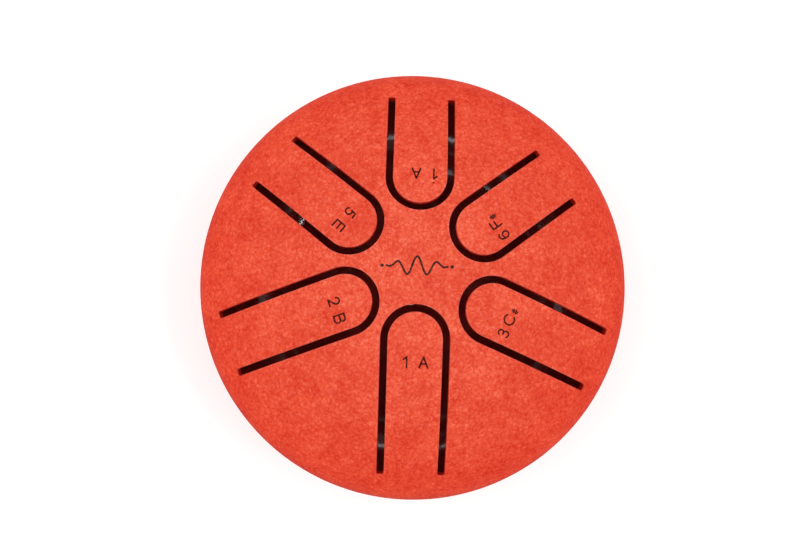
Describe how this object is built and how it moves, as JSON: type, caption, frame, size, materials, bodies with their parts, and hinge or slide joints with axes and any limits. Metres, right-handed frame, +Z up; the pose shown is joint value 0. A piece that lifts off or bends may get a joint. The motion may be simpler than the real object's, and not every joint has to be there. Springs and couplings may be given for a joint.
{
  "type": "steel tongue drum",
  "caption": "Small round steel tongue drum: a slotted dome and a bowl welded at the rim, round-tipped tongues that bend at their roots, a small vent below and rubber button feet.",
  "frame": {"origin": "on the drum's axis, at the level of the feet's undersides", "axes": "+Z up the drum's axis through the crown, -Y outwards along the longest, lowest-sounding tongue, +X to the right of a player who faces that tongue from its root"},
  "size_m": [0.0802, 0.0802, 0.044],
  "materials": {
    "coral_coat": "coral-red powder coat with a fine orange-peel grain and a soft sheen",
    "foot_rubber": "matte black moulded rubber",
    "foot_adhesive": "pale foam adhesive disc"
  },
  "bodies": {
    "drum": {"top_shell": "coral_coat", "bottom_shell": "coral_coat", "seam_weld": "coral_coat", "foot_1": "foot_rubber", "foot_tape_1": "foot_adhesive", "foot_2": "foot_rubber", "foot_tape_2": "foot_adhesive", "foot_3": "foot_rubber", "foot_tape_3": "foot_adhesive"},
    "tongue_1_a": {"tongue_1_a": "coral_coat"},
    "tongue_2_b": {"tongue_2_b": "coral_coat"},
    "tongue_3_c_sharp": {"tongue_3_c_sharp": "coral_coat"},
    "tongue_5_e": {"tongue_5_e": "coral_coat"},
    "tongue_6_f_sharp": {"tongue_6_f_sharp": "coral_coat"},
    "tongue_1_a_high": {"tongue_1_a_high": "coral_coat"}
  },
  "joints": [
    {"name": "tongue_1_a_flex", "type": "hinge", "parent": "drum", "child": "tongue_1_a", "pos_m": [0, -0.0342, 0.03329], "axis": [-1, 0, 0], "range_deg": [-1.29, 1.29], "stiffness_Nm_per_rad": 17.17},
    {"name": "tongue_2_b_flex", "type": "hinge", "parent": "drum", "child": "tongue_2_b", "pos_m": [-0.03279, -0.01194, 0.03279], "axis": [-0.342, 0.9397, 0], "range_deg": [-1.21, 1.21], "stiffness_Nm_per_rad": 18.27},
    {"name": "tongue_3_c_sharp_flex", "type": "hinge", "parent": "drum", "child": "tongue_3_c_sharp", "pos_m": [0.03252, -0.0132, 0.03264], "axis": [-0.3762, -0.9265, 0], "range_deg": [-1.16, 1.16], "stiffness_Nm_per_rad": 19.07},
    {"name": "tongue_5_e_flex", "type": "hinge", "parent": "drum", "child": "tongue_5_e", "pos_m": [-0.02581, 0.02105, 0.03386], "axis": [0.632, 0.7749, 0], "range_deg": [-1.04, 1.04], "stiffness_Nm_per_rad": 21.34},
    {"name": "tongue_6_f_sharp_flex", "type": "hinge", "parent": "drum", "child": "tongue_6_f_sharp", "pos_m": [0.02493, 0.01941, 0.0349], "axis": [0.6143, -0.7891, 0], "range_deg": [-1, 1], "stiffness_Nm_per_rad": 22.23},
    {"name": "tongue_1_a_high_flex", "type": "hinge", "parent": "drum", "child": "tongue_1_a_high", "pos_m": [0.00052, 0.0331, 0.03399], "axis": [0.9999, -0.0157, 0], "range_deg": [-0.91, 0.91], "stiffness_Nm_per_rad": 24.23}
  ]
}
